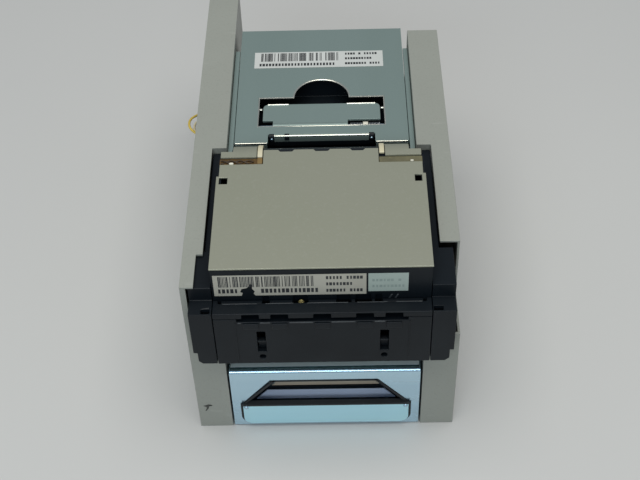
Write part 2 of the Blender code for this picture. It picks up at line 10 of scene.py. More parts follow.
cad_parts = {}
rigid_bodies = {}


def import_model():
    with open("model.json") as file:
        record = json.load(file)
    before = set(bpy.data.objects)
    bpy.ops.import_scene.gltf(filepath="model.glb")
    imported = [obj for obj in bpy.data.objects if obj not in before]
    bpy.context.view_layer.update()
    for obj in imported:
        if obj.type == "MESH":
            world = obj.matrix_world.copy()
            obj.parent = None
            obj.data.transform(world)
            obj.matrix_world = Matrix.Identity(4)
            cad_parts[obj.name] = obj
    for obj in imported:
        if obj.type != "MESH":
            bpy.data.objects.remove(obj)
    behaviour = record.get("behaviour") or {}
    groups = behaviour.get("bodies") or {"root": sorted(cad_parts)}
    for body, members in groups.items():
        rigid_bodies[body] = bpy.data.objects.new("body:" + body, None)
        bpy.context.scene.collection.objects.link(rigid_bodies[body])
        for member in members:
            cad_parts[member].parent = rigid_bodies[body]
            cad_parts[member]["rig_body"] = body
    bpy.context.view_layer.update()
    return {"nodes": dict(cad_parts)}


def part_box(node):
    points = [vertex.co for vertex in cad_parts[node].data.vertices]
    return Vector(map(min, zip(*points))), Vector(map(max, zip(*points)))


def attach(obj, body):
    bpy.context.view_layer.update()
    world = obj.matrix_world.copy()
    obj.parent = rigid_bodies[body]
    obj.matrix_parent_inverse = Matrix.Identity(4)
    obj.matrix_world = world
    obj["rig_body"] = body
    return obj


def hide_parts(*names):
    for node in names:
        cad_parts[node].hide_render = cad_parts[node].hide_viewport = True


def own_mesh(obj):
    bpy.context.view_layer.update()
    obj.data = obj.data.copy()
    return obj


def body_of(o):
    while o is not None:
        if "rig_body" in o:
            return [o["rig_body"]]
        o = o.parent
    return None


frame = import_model()

# ---------------------------------------------------------------- frame side channels
# Two C-section channels carry everything else. Each is folded from 1.2 mm steel, cut away in front for
# the head, and powder coated warm grey. The left one is longer, and both stand straight on the counter.

MM = 0.001
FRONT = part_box("left_channel")[0].y / MM


def at(x, y, z):
    """A place in millimetres, with y counted back from the front ends of the channels."""
    return Vector((x * MM, (FRONT + y) * MM, z * MM))


def tint(red, green, blue):
    """A screen colour from 0 to 255 as the linear colour that a shader takes."""
    linear = [(c / 255 / 12.92) if c <= 10 else ((c / 255 + 0.055) / 1.055) ** 2.4 for c in (red, green, blue)]
    return (*linear, 1.0)


def add(tree, kind, sockets=(), **settings):
    """One node, with its settings made and its sockets linked or filled."""
    node = tree.nodes.new(kind)
    for setting, value in settings.items():
        setattr(node, setting, value)
    for socket, value in dict(sockets).items():
        if isinstance(value, bpy.types.NodeSocket):
            tree.links.new(value, node.inputs[socket])
        else:
            node.inputs[socket].default_value = value
    return node


def stretched(tree, place, lay):
    """Object coordinates with a pattern drawn out along the axis whose factor is small."""
    return add(tree, "ShaderNodeMapping", {"Vector": place, "Scale": lay}).outputs["Vector"]


def spread(tree, value, low, high, out_low=0.0, out_high=1.0):
    """A pattern's values between two limits, carried over to another range."""
    limits = {"Value": value, "From Min": low, "From Max": high, "To Min": out_low, "To Max": out_high}
    return add(tree, "ShaderNodeMapRange", limits).outputs["Result"]


def blended(tree, amount, first, second):
    """Two colours mixed by a pattern."""
    return add(tree, "ShaderNodeMix", {0: amount, 6: first, 7: second}, data_type="RGBA").outputs[2]


def surface(name, tones, patch, shine, metal=0.0, grain=900.0, lay=(1, 1, 1), relief=0.01, wave=0.0,
            fleck=0.0, scuff=None, reflect=0.5):
    """A finish with cloudy colour, fine grain, uneven gloss and, where asked, flecks and scuffs."""
    material = bpy.data.materials.new(name)
    material.use_nodes = True
    tree = material.node_tree
    shader = tree.nodes["Principled BSDF"]
    shader.inputs["Metallic"].default_value = metal
    shader.inputs["Specular IOR Level"].default_value = reflect
    place = add(tree, "ShaderNodeTexCoord").outputs["Object"]
    drawn = stretched(tree, place, lay)
    cloud = add(tree, "ShaderNodeTexNoise", {"Vector": drawn, "Scale": patch, "Detail": 6.0}).outputs["Fac"]
    fine = add(tree, "ShaderNodeTexNoise", {"Vector": drawn, "Scale": grain, "Detail": 3.0}).outputs["Fac"]
    colour = blended(tree, spread(tree, cloud, 0.32, 0.68), tones[0], tones[1])
    if fleck:
        dots = add(tree, "ShaderNodeTexNoise", {"Vector": place, "Scale": grain * 0.6, "Detail": 1.0})
        amount = spread(tree, dots.outputs["Fac"], 0.55, 0.75, 0.0, fleck)
        colour = blended(tree, amount, colour, tones[-1])
    rough = spread(tree, cloud, 0.3, 0.7, shine[0], shine[1])
    if scuff:
        rubbed = stretched(tree, place, (6, 40, 14))
        lines = add(tree, "ShaderNodeTexNoise", {"Vector": rubbed, "Scale": 9.0, "Detail": 9.0}).outputs["Fac"]
        marks = spread(tree, lines, 0.66, 0.74, 0.0, 0.55)
        colour = blended(tree, marks, colour, scuff)
    tree.links.new(colour, shader.inputs["Base Color"])
    tree.links.new(rough, shader.inputs["Roughness"])
    bump = add(tree, "ShaderNodeBump", {"Height": fine, "Strength": 0.6, "Distance": relief * MM})
    normal = bump.outputs["Normal"]
    if wave:
        slow = add(tree, "ShaderNodeTexNoise", {"Vector": place, "Scale": 28.0, "Detail": 1.0}).outputs["Fac"]
        rolling = {"Height": slow, "Strength": 1.0, "Distance": wave * MM, "Normal": normal}
        normal = add(tree, "ShaderNodeBump", rolling).outputs["Normal"]
    tree.links.new(normal, shader.inputs["Normal"])
    return material


def eased(node, edge, finish, cutters=(), name=None):
    """A CAD part again, with the small radii that a press or a mould leaves, in its real finish."""
    source = frame["nodes"][node]
    shape = bmesh.new()
    shape.from_mesh(source.data)
    bmesh.ops.remove_doubles(shape, verts=shape.verts, dist=2e-6)
    bmesh.ops.dissolve_limit(shape, angle_limit=math.radians(1.5), verts=shape.verts, edges=shape.edges)
    piece = piece_of(name or node + "_finished", shape, finish)
    for cutter in cutters:
        carve(piece, cutter)
    soften(piece, edge)
    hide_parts(node)
    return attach(piece, body_of(source)[0])


def piece_of(name, shape, finish):
    """An object made from a finished shape, smooth all over, which the bevel then keeps crisp."""
    mesh = bpy.data.meshes.new(name)
    shape.to_mesh(mesh)
    shape.free()
    mesh.materials.clear()
    mesh.materials.append(finish)
    mesh.polygons.foreach_set("material_index", [0] * len(mesh.polygons))
    mesh.polygons.foreach_set("use_smooth", [True] * len(mesh.polygons))
    piece = bpy.data.objects.new(name, mesh)
    bpy.context.scene.collection.objects.link(piece)
    return piece


def carve(piece, shape):
    """Cuts a shape out of a piece for good."""
    bmesh.ops.recalc_face_normals(shape, faces=shape.faces)
    tool = piece_of(piece.name + "_tool", shape, piece.data.materials[0])
    cut = piece.modifiers.new("cut", "BOOLEAN")
    cut.object, cut.solver = tool, "EXACT"
    bpy.context.view_layer.update()
    graph = bpy.context.evaluated_depsgraph_get()
    mesh = bpy.data.meshes.new_from_object(piece.evaluated_get(graph))
    piece.modifiers.clear()
    piece.data = mesh
    bpy.data.objects.remove(tool)


def soften(piece, edge, segments=2):
    """Rounds the sharp edges, and keeps the flats looking flat."""
    if edge:
        bevel = piece.modifiers.new("edge radius", "BEVEL")
        bevel.width, bevel.segments = edge * MM, segments
        bevel.limit_method, bevel.angle_limit = "ANGLE", math.radians(32)
        bevel.miter_outer = "MITER_ARC"
    flats = piece.modifiers.new("flat faces", "WEIGHTED_NORMAL")
    flats.keep_sharp, flats.weight = False, 60


def plate(shape, axis, outline, span):
    """A sheet or block with any outline, square to an axis and between two places on it."""
    turn = {"x": lambda s, a, b: at(s, a, b), "y": lambda s, a, b: at(a, s, b), "z": lambda s, a, b: at(a, b, s)}
    rings = [[shape.verts.new(turn[axis](place, a, b)) for a, b in outline] for place in span]
    made = [shape.faces.new(rings[0]), shape.faces.new(rings[1][::-1])]
    for i in range(len(outline)):
        j = (i + 1) % len(outline)
        made.append(shape.faces.new((rings[0][j], rings[0][i], rings[1][i], rings[1][j])))
    bmesh.ops.recalc_face_normals(shape, faces=made)
    return shape


def slab(shape, x, y, z):
    """A square block between two places on each axis."""
    return plate(shape, "z", [(x[0], y[0]), (x[1], y[0]), (x[1], y[1]), (x[0], y[1])], z)


def lathed(shape, axis, centre, profile, steps=24):
    """A turned shape round an axis: the profile is radius and place along it, from end to end."""
    turn = {"x": lambda s, a, b: at(s, centre[0] + a, centre[1] + b),
            "y": lambda s, a, b: at(centre[0] + a, s, centre[1] + b),
            "z": lambda s, a, b: at(centre[0] + a, centre[1] + b, s)}
    rings = []
    for radius, place in profile:
        if radius < 1e-4:
            rings.append([shape.verts.new(turn[axis](place, 0.0, 0.0))])
            continue
        angles = [2 * math.pi * i / steps for i in range(steps)]
        rings.append([shape.verts.new(turn[axis](place, radius * math.cos(a), radius * math.sin(a)))
                      for a in angles])
    made = []
    for first, second in zip(rings, rings[1:]):
        for i in range(steps):
            j = (i + 1) % steps
            corners = [first[i % len(first)], first[j % len(first)], second[j % len(second)],
                       second[i % len(second)]]
            corners = list(dict.fromkeys(corners))
            if len(corners) > 2:
                made.append(shape.faces.new(corners))
    if len(rings[0]) > 1:
        made.append(shape.faces.new(rings[0]))
    if len(rings[-1]) > 1:
        made.append(shape.faces.new(rings[-1]))
    bmesh.ops.recalc_face_normals(shape, faces=made)
    return shape


def fitted(name, shape, body, finish, edge=0.15):
    """A small part in its place: made, given its edge radius, and fixed to its body."""
    piece = piece_of(name, shape, finish)
    soften(piece, edge)
    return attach(piece, body)


def instance_tree():
    """Fasteners set on a list of places, each turned by chance about its own axis."""
    tree = bpy.data.node_groups.new("fasteners", "GeometryNodeTree")
    for label, kind in (("Places", "NodeSocketGeometry"), ("Fastener", "NodeSocketObject"),
                        ("Facing", "NodeSocketRotation"), ("Chance turn", "NodeSocketFloat"),
                        ("Finish", "NodeSocketMaterial")):
        tree.interface.new_socket(label, in_out="INPUT", socket_type=kind)
    tree.interface.new_socket("Fasteners", in_out="OUTPUT", socket_type="NodeSocketGeometry")
    given = add(tree, "NodeGroupInput").outputs
    spin = add(tree, "FunctionNodeRandomValue", {"Min": 0.0, "Max": given["Chance turn"], "Seed": 7},
               data_type="FLOAT")
    own = add(tree, "ShaderNodeCombineXYZ", {"Z": spin.outputs["Value"]}).outputs["Vector"]
    own_turn = add(tree, "FunctionNodeEulerToRotation", {"Euler": own}).outputs["Rotation"]
    facing = add(tree, "FunctionNodeRotateRotation", {"Rotation": given["Facing"], "Rotate By": own_turn},
                 rotation_space="LOCAL").outputs["Rotation"]
    shape = add(tree, "GeometryNodeObjectInfo", {"Object": given["Fastener"], "As Instance": True})
    stand = add(tree, "GeometryNodeInstanceOnPoints", {"Points": given["Places"], "Rotation": facing,
                                                       "Instance": shape.outputs["Geometry"]})
    real = add(tree, "GeometryNodeRealizeInstances", {"Geometry": stand.outputs["Instances"]})
    done = add(tree, "GeometryNodeSetMaterial", {"Geometry": real.outputs["Geometry"],
                                                 "Material": given["Finish"]})
    add(tree, "NodeGroupOutput", {"Fasteners": done.outputs["Geometry"]})
    return tree


def grown(name, tree, settings, places, body):
    """Runs a node tree over a list of places, and keeps its result as a plain mesh."""
    mesh = bpy.data.meshes.new(name)
    mesh.from_pydata([at(*place) for place in places], [], [])
    piece = bpy.data.objects.new(name, mesh)
    bpy.context.scene.collection.objects.link(piece)
    making = piece.modifiers.new("making", "NODES")
    making.node_group = tree
    for socket in tree.interface.items_tree:
        if socket.in_out == "INPUT" and socket.name in settings:
            making[socket.identifier] = settings[socket.name]
    bpy.context.view_layer.update()
    graph = bpy.context.evaluated_depsgraph_get()
    made = bpy.data.meshes.new_from_object(piece.evaluated_get(graph))
    piece.modifiers.clear()
    piece.data = made
    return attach(piece, body)


FASTENERS = instance_tree()
UP = (0.0, 0.0, 0.0)
FORWARD = (math.pi / 2, 0.0, 0.0)
RIGHTWARD, LEFTWARD = (0.0, math.pi / 2, 0.0), (0.0, -math.pi / 2, 0.0)


templates = []


def template(name, shape):
    """A fastener's own shape, drawn at the origin and standing up."""
    for corner in shape.verts:
        corner.co.y -= FRONT * MM
    templates.append(piece_of(name, shape, grey_paint))
    return templates[-1]


def set_in(name, fastener, facing, places, body, finish, chance=6.28):
    """Like fasteners on one face of a body."""
    settings = {"Fastener": fastener, "Facing": facing, "Chance turn": chance, "Finish": finish}
    return grown(name, FASTENERS, settings, places, body)


grey_paint = surface("grey powder coat", (tint(156, 158, 149), tint(148, 150, 141), tint(122, 124, 116)), 9.0,
                     (0.42, 0.52), grain=1500.0, relief=0.02, wave=0.05, fleck=0.2, scuff=tint(166, 167, 160))
for side in ("left", "right"):
    eased(side + "_channel", 0.45, grey_paint, name=side + "_channel_sheet")

chip = [(-62.4, 17.4), (-59.6, 18.6), (-58.0, 18.2), (-57.6, 17.4), (-59.4, 17.0), (-59.8, 15.2), (-61.2, 13.0),
        (-61.6, 13.4), (-60.6, 15.8), (-61.0, 16.6)]
bare_steel = surface("bare steel under the paint", (tint(92, 92, 88), tint(66, 66, 64)), 300.0, (0.4, 0.6), metal=0.6,
                     grain=1800.0, relief=0.02)
fitted("paint_chip", plate(bmesh.new(), "y", chip, (-0.06, 0.02)), "frame", bare_steel, 0.0)

weld = template("spot_weld", lathed(bmesh.new(), "z", (0.0, 0.0), [(0.0, 0.14), (1.3, 0.12), (1.9, 0.05),
                                                                  (2.5, 0.08), (2.8, 0.0)], 16))
for side, facing, length in ((-1, LEFTWARD, 204), (1, RIGHTWARD, 184)):
    places = [(side * 65.0, y, 7.0) for y in range(20, length, 32)]
    set_in("channel_welds_" + ("left" if side < 0 else "right"), weld, facing, places, "frame",
           grey_paint)

# ---------------------------------------------------------------- cash presence switch and its leads
# A small black microswitch behind the left channel's wall. Its three PVC leads loop out through a slot
# in the wall and back in.

moulded = (tint(19, 25, 30), tint(14, 19, 24), tint(40, 46, 50))
black_plastic = surface("moulded black plastic", moulded, 26.0, (0.32, 0.46), grain=2600.0, relief=0.012,
                        fleck=0.12, reflect=0.2)
eased("presence_switch", 0.4, black_plastic)


def smooth_route(route, steps=3):
    """A smooth line through the points of a route."""
    points = []
    for i in range(len(route) - 1):
        before, first, second, after = (Vector(route[max(0, min(len(route) - 1, k))]) for k in range(i - 1, i + 3))
        for step in range(steps):
            t = step / steps
            points.append(0.5 * (2 * first + (second - before) * t + (2 * before - 5 * first + 4 * second - after)
                                 * t * t + (3 * first - before - 3 * second + after) * t ** 3))
    return [*points, Vector(route[-1])]


def lead(name, points, radius, finish):
    """A round insulated lead along a line of places in millimetres."""
    curve = bpy.data.curves.new(name, "CURVE")
    curve.dimensions, curve.bevel_depth, curve.bevel_resolution = "3D", radius * MM, 3
    curve.use_fill_caps = True
    line = curve.splines.new("POLY")
    line.points.add(len(points) - 1)
    for point, place in zip(line.points, points):
        point.co = (*at(*place), 1.0)
    line.use_smooth = True
    curve.materials.append(finish)
    piece = bpy.data.objects.new(name, curve)
    bpy.context.scene.collection.objects.link(piece)
    return piece


def pvc(name, tone, deep):
    return surface(name, (tone, deep), 60.0, (0.34, 0.46), grain=2200.0, relief=0.006)


LEADS = {
    "yellow": [(-60.4, 145.4, 97.0), (-60.6, 141.0, 97.2), (-62.2, 136.8, 97.6), (-65.6, 133.6, 98.0),
               (-69.4, 129.8, 98.4), (-70.6, 125.6, 98.6), (-69.6, 121.4, 98.4), (-66.4, 117.8, 98.0),
               (-62.6, 115.0, 97.6), (-60.8, 110.6, 97.2), (-60.4, 104.0, 97.0)],
    "cream": [(-58.4, 145.4, 95.0), (-58.8, 140.6, 95.0), (-61.0, 135.6, 95.2), (-64.6, 132.2, 95.6),
              (-67.4, 128.6, 96.0), (-68.0, 125.2, 96.2), (-67.4, 121.8, 96.0), (-64.8, 118.6, 95.6),
              (-61.2, 115.2, 95.2), (-59.0, 110.6, 95.0), (-58.4, 104.0, 95.0)],
    "red": [(-56.4, 145.4, 93.0), (-57.2, 139.6, 93.0), (-60.2, 134.6, 93.2), (-63.8, 131.2, 93.4),
            (-65.9, 128.2, 93.6), (-66.4, 125.0, 93.7), (-65.9, 121.6, 93.6), (-63.8, 118.6, 93.4),
            (-60.4, 115.4, 93.2), (-57.4, 110.6, 93.0), (-56.4, 104.0, 93.0)]}
LEAD_TONES = {"yellow": (tint(216, 190, 92), tint(196, 168, 74)), "cream": (tint(226, 216, 184), tint(206, 194, 160)),
              "red": (tint(128, 44, 34), tint(104, 34, 28))}
LEAD_RADIUS = 0.65
for tone, route in LEADS.items():
    points = smooth_route(route)
    length = sum((b - a).length for a, b in zip(points, points[1:])) * MM
    wire = lead("switch_lead_" + tone, points, LEAD_RADIUS, pvc(tone + " lead", *LEAD_TONES[tone]))
    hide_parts("wire_" + tone)
    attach(wire, "frame")

# ---------------------------------------------------------------- frame floor, brace and stacker guides
# A zinc-plated U plate is spot welded between the channels, with an angle across behind it. The two
# bright ledges inside the channels guide the stacker as it slides in.

plated = (tint(202, 229, 242), tint(184, 214, 232), tint(218, 232, 240))
zinc = surface("bright zinc plate", plated, 34.0, (0.18, 0.32), metal=1.0, grain=1300.0, lay=(0.06, 1, 1),
               relief=0.006, wave=0.10)
bare = (tint(144, 161, 156), tint(135, 152, 147), tint(160, 170, 165))
steel = surface("galvanised sheet", bare, 22.0, (0.34, 0.46), metal=0.45, grain=1700.0, lay=(1, 0.05, 1),
                relief=0.008, wave=0.06, fleck=0.12)
eased("base_plate", 0.4, zinc)
eased("rear_brace", 0.4, zinc)
eased("stacker_guide_left", 0.35, steel)
eased("stacker_guide_right", 0.35, steel)

# ---------------------------------------------------------------- cash drawer
# A zinc-plated tray that pulls out by a finger window in its front. The front is one pressed panel with
# its top edge rolled back, and the pull lip is a separate plate held at its two upper corners.

eased("drawer_tray", 0.3, zinc)
eased("drawer_front", 0.45, zinc)
eased("drawer_cover", 0.3, zinc)


def corner_arc(centre, radius, start, turn, steps=6):
    """Points round part of a circle, for a rounded corner."""
    angles = [math.radians(start + turn * i / steps) for i in range(steps + 1)]
    return [(centre[0] + radius * math.cos(a), centre[1] + radius * math.sin(a)) for a in angles]


lip = [(-42.0, 18.7), *corner_arc((-37.6, 8.1), 4.4, 180, 90), *corner_arc((37.6, 8.1), 4.4, 270, 90), (42.0, 18.7)]
lip_plate = plate(bmesh.new(), "y", lip, (-1.5, -0.45))
# The lip's zinc is a lighter copy of the panel's: painted light for the brightness it catches.
lip_painted_tones = (tint(212, 252, 255), tint(198, 242, 255), tint(226, 248, 255))
lip_zinc_painted_lighter = surface("bright zinc plate, freshly cut", lip_painted_tones, 30.0, (0.24, 0.36), metal=0.9, grain=1300.0,
                   lay=(0.06, 1, 1), relief=0.006, wave=0.12)
pull = fitted("pull_lip_plate", lip_plate, "cash_drawer", lip_zinc_painted_lighter, 0.4)
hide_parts("pull_lip")

pin_profile = [(0.0, 0.75), (0.7, 0.62), (1.1, 0.2), (1.2, 0.0)]
pin = template("lip_pin", lathed(bmesh.new(), "z", (0.0, 0.0), pin_profile, 16))
set_in("pull_lip_pins", pin, FORWARD, [(-40.4, -1.5, 17.4), (40.4, -1.5, 17.4)], "cash_drawer", zinc)

# Black rubber strips round the lip, over its top edge and round the window are painted shadow. Behind them a black
# pocket ring, also painted shadow, frames a pale plate whose colour is a painted reflection.
rubber = surface("black rubber", (tint(36, 38, 40), tint(28, 30, 32), tint(52, 54, 56)), 50.0, (0.62, 0.78),
                 grain=1800.0, lay=(1, 0.2, 0.2), relief=0.02, fleck=0.15)
lip_shadow_outline = [(-43.2, 19.2), *corner_arc((-38.0, 8.6), 5.2, 180, 90), *corner_arc((38.0, 8.6), 5.2, 270, 90),
             (43.2, 19.2)]
fitted("lip_seal", plate(bmesh.new(), "y", lip_shadow_outline, (-0.38, -0.06)), "cash_drawer", rubber, 0.0)
# The strip over the lip's top edge is painted shadow, and it hides the lip's edge highlight.
lip_seal = slab(bmesh.new(), (-42.6, 42.6), (-1.62, -0.1), (18.35, 19.4))
fitted("lip_top_seal", lip_seal, "cash_drawer", rubber, 0.3)
sill_painted_shadow = slab(bmesh.new(), (-41.3, 41.3), (-0.06, 1.6), (18.86, 19.35))
fitted("window_sill_seal", sill_painted_shadow, "cash_drawer", rubber, 0.1)
# The strips along the window's edges are black rubber that stands for painted shadow.
edge_low, edge_high, edge_slope = 19.3, 37.7, 16.0 / 18.8
window_shadow_frame = bmesh.new()
plate(window_shadow_frame, "y", [(-26.2, edge_high), (26.2, edge_high), (26.9, edge_high - 1.0), (-26.9, edge_high - 1.0)],
      (-0.25, 1.5))
for side in (-1, 1):
    foot, top = side * 41.7, side * (41.7 - edge_slope * (edge_high - edge_low))
    window_side_shadow = [(foot, edge_low), (top, edge_high), (top - side * 1.7, edge_high), (foot - side * 1.7, edge_low)]
    plate(window_shadow_frame, "y", window_side_shadow, (-0.25, 1.5))
fitted("window_seal", window_shadow_frame, "cash_drawer", rubber, 0.1)
# The black ring round the plate is painted shadow for the dark frame inside the window.
outer = [(-43.0, 5.9), (43.0, 5.9), (28.4, 21.2), (-28.4, 21.2)]
pocket = plate(bmesh.new(), "y", outer, (8.6, 9.95))
pocket_shadow_ring = piece_of("finger_pocket", pocket, black_plastic)
inner = [(-36.2, 11.4), (36.2, 11.4), (30.2, 18.7), (-30.2, 18.7)]
carve(pocket_shadow_ring, plate(bmesh.new(), "y", inner, (5.0, 12.0)))
soften(pocket_shadow_ring, 0.25)
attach(pocket_shadow_ring, "cash_drawer")
# The plate is not metallic, and its pale lavender colour is a painted reflection.
painted_reflection_outline = [(x * 0.99, 15.0 + (z - 15.0) * 0.96) for x, z in inner]
dull = (tint(222, 230, 248), tint(210, 219, 240), tint(232, 236, 246))
painted_reflection_zinc = surface("dull zinc plate", dull, 40.0, (0.42, 0.55), metal=0.0, grain=1300.0, lay=(0.06, 1, 1),
                    relief=0.006)
fitted("pocket_plate", plate(bmesh.new(), "y", painted_reflection_outline, (8.3, 8.9)), "cash_drawer", painted_reflection_zinc, 0.12)
# A tan strip of zinc plate, not metallic, lies above the pocket.
tan_strip = [(-27.4, 21.4), (27.4, 21.4), (25.4, 23.9), (-25.4, 23.9)]
aged = surface("yellowed zinc plate", (tint(196, 180, 158), tint(176, 162, 142)), 40.0, (0.4, 0.5), metal=0.0,
               grain=1300.0, lay=(0.06, 1, 1), relief=0.006)
fitted("pocket_flange", plate(bmesh.new(), "y", tan_strip, (9.3, 9.9)), "cash_drawer", aged, 0.12)
# A thin non-metallic skin on the front's top flange is a painted reflection: the pale band along it.
flange_painted_reflection = surface("hemmed zinc edge", (tint(204, 210, 204), tint(190, 200, 200)), 40.0, (0.4, 0.5), metal=0.0,
              grain=1300.0, lay=(0.06, 1, 1), relief=0.006)
fitted("front_hem", slab(bmesh.new(), (-46.6, 46.6), (3.4, 8.9), (44.45, 44.6)), "cash_drawer", flange_painted_reflection, 0.05)

spring_steel = surface("spring steel", (tint(176, 178, 178), tint(150, 152, 152)), 60.0, (0.22, 0.32), metal=1.0,
                       grain=1500.0, relief=0.004)
# Two coil springs carry the note platform; each is a copy of the CAD coil with a mesh of its own.
for end in ("front", "rear"):
    node = frame["nodes"]["platform_spring_" + end]
    coiled = bmesh.new()
    coiled.from_mesh(node.data)
    spring = piece_of("note_spring_" + end, coiled, spring_steel)
    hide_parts("platform_spring_" + end)
    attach(spring, body_of(node)[0])
    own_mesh(spring)
eased("note_platform", 0.35, steel)

# ---------------------------------------------------------------- stacker case
# A galvanised box that slides out at the back. Its lid has a window over a black hand well, and a paper
# label behind it. The lid's front edge is folded down in the middle, with a riveted clip at each end.

eased("stacker_housing", 0.45, steel)
eased("top_plate", 0.38, steel, name="stacker_lid")
eased("handle_recess", 0.4, black_plastic, name="hand_well")
eased("handle_pin", 0.0, zinc, name="handle_pin_plated")
eased("inlet_guide", 0.3, black_plastic)
eased("note_track", 0.0, black_plastic)
eased("drum_guide", 0.0, black_plastic)

lip_line = [(33.4, 115.2), (33.4, 138.6), *corner_arc((0.0, 138.6), 15.0, 0, 180, 28), (-33.4, 138.6),
            (-33.4, 115.2)]


def rolled_edge(name, line, z, radius, body, finish, closed=False):
    """The rolled-down lip round an opening in sheet metal."""
    curve = bpy.data.curves.new(name, "CURVE")
    curve.dimensions, curve.bevel_depth, curve.bevel_resolution = "3D", radius * MM, 4
    curve.use_fill_caps = True
    path = curve.splines.new("POLY")
    path.points.add(len(line) - 1)
    for point, (x, y) in zip(path.points, line):
        point.co = (*at(x, y, z), 1.0)
    path.use_cyclic_u = closed
    path.use_smooth = True
    curve.materials.append(finish)
    holder = bpy.data.objects.new(name, curve)
    bpy.context.scene.collection.objects.link(holder)
    bpy.context.view_layer.update()
    mesh = bpy.data.meshes.new_from_object(holder.evaluated_get(bpy.context.evaluated_depsgraph_get()))
    bpy.data.objects.remove(holder)
    piece = bpy.data.objects.new(name, mesh)
    bpy.context.scene.collection.objects.link(piece)
    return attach(piece, body)


# Near-white mirror metal on the rolled edges and the flange bend: partly rubbed wear, partly painted highlight.
rubbed = surface("rubbed bright edge", (tint(242, 240, 226), tint(230, 229, 214)), 60.0, (0.20, 0.28), metal=1.0,
                 grain=1500.0, relief=0.002)
rolled_edge("grip_window_lip", lip_line, 103.62, 0.62, "stacker", rubbed, closed=True)
rolled_edge("lid_front_lip_left", [(-44.4, 102.35), (-28.2, 102.35)], 103.72, 0.45, "stacker", rubbed)
rolled_edge("lid_front_lip_right", [(28.2, 102.35), (44.4, 102.35)], 103.72, 0.45, "stacker", rubbed)
rolled_edge("flange_bend_edge", [(-24.5, 107.95), (24.5, 107.95)], 103.58, 0.62, "stacker", rubbed)

bend_y, bend_z, bend_radius = 108.9, 102.6, 1.5
flange_face = bend_y - bend_radius


def flange_clip(name, x, low):
    """A thin black clip bent over the lid's front flange, down to a given height."""
    outside = [*corner_arc((bend_y, bend_z), bend_radius + 0.4, 92, 88, 8), (flange_face - 0.4, low)]
    inside = [(flange_face - 0.08, low), *corner_arc((bend_y, bend_z), bend_radius + 0.08, 180, -88, 8)]
    return fitted(name, plate(bmesh.new(), "x", outside + inside, x), "stacker", black_plastic, 0.1)


flange_clip("flange_clip_left", (-27.2, -24.6), 98.1)
flange_clip("flange_clip_right", (24.6, 27.2), 98.1)
flange_clip("flange_clip_small", (-19.2, -16.8), 101.6)
# A black strip on the flange face under the lid's edge is painted shadow.
flange_shadow_strip = slab(bmesh.new(), (-24.6, 24.6), (flange_face - 0.3, flange_face - 0.06), (97.6, 100.4))
fitted("flange_skirt", flange_shadow_strip, "stacker", black_plastic, 0.05)
rivet_profile = [(0.0, 0.6), (0.5, 0.52), (0.8, 0.3), (0.95, 0.0)]
rivet = template("clip_rivet", lathed(bmesh.new(), "z", (0.0, 0.0), rivet_profile, 16))
set_in("flange_clip_rivets", rivet, FORWARD, [(x, flange_face - 0.35, 102.0) for x in (-25.9, 25.9)], "stacker",
       zinc)

paper_tones = (tint(206, 208, 204), tint(196, 198, 193), tint(178, 180, 174))
paper = surface("label paper", paper_tones, 40.0, (0.55, 0.68), grain=3000.0, relief=0.004, fleck=0.08)
ink = surface("label ink", (tint(38, 40, 42), tint(54, 56, 58)), 80.0, (0.5, 0.6), grain=2500.0, relief=0.002)


def bar_tree():
    """A row of printed bars of uneven width, with chance gaps, standing along one line."""
    tree = bpy.data.node_groups.new("printed bars", "GeometryNodeTree")
    for label, kind in (("Places", "NodeSocketGeometry"), ("Count", "NodeSocketInt"), ("Step", "NodeSocketVector"),
                        ("Bar", "NodeSocketVector"), ("Narrowest", "NodeSocketFloat"), ("Widest", "NodeSocketFloat"),
                        ("Share printed", "NodeSocketFloat"), ("Seed", "NodeSocketInt"),
                        ("Ink", "NodeSocketMaterial")):
        tree.interface.new_socket(label, in_out="INPUT", socket_type=kind)
    tree.interface.new_socket("Bars", in_out="OUTPUT", socket_type="NodeSocketGeometry")
    given = add(tree, "NodeGroupInput").outputs
    start = add(tree, "GeometryNodeInputPosition").outputs["Position"]
    first = add(tree, "GeometryNodeSampleIndex", {"Geometry": given["Places"], "Value": start, "Index": 0},
                data_type="FLOAT_VECTOR").outputs["Value"]
    row = add(tree, "GeometryNodeMeshLine", {"Count": given["Count"], "Start Location": first,
                                             "Offset": given["Step"]}).outputs["Mesh"]
    chosen = add(tree, "FunctionNodeRandomValue", {"Probability": given["Share printed"], "Seed": given["Seed"]},
                 data_type="BOOLEAN").outputs[3]
    width = add(tree, "FunctionNodeRandomValue", {"Min": given["Narrowest"], "Max": given["Widest"],
                                                  "Seed": given["Seed"]}, data_type="FLOAT").outputs[1]
    scale = add(tree, "ShaderNodeCombineXYZ", {"X": width, "Y": 1.0, "Z": 1.0}).outputs["Vector"]
    bar = add(tree, "GeometryNodeMeshCube", {"Size": given["Bar"]}).outputs["Mesh"]
    stand = add(tree, "GeometryNodeInstanceOnPoints", {"Points": row, "Selection": chosen, "Instance": bar,
                                                       "Scale": scale})
    real = add(tree, "GeometryNodeRealizeInstances", {"Geometry": stand.outputs["Instances"]})
    done = add(tree, "GeometryNodeSetMaterial", {"Geometry": real.outputs["Geometry"], "Material": given["Ink"]})
    add(tree, "NodeGroupOutput", {"Bars": done.outputs["Geometry"]})
    return tree


BARS = bar_tree()


def printed(name, body, start, count, step, bar, widths, share, seed, ink=ink):
    """One row of bars, or of the blocks that stand for a line of print."""
    settings = {"Count": count, "Step": [c * MM for c in step], "Bar": [c * MM for c in bar],
                "Narrowest": widths[0], "Widest": widths[1], "Share printed": share, "Seed": seed, "Ink": ink}
    return grown(name, BARS, settings, [start], body)


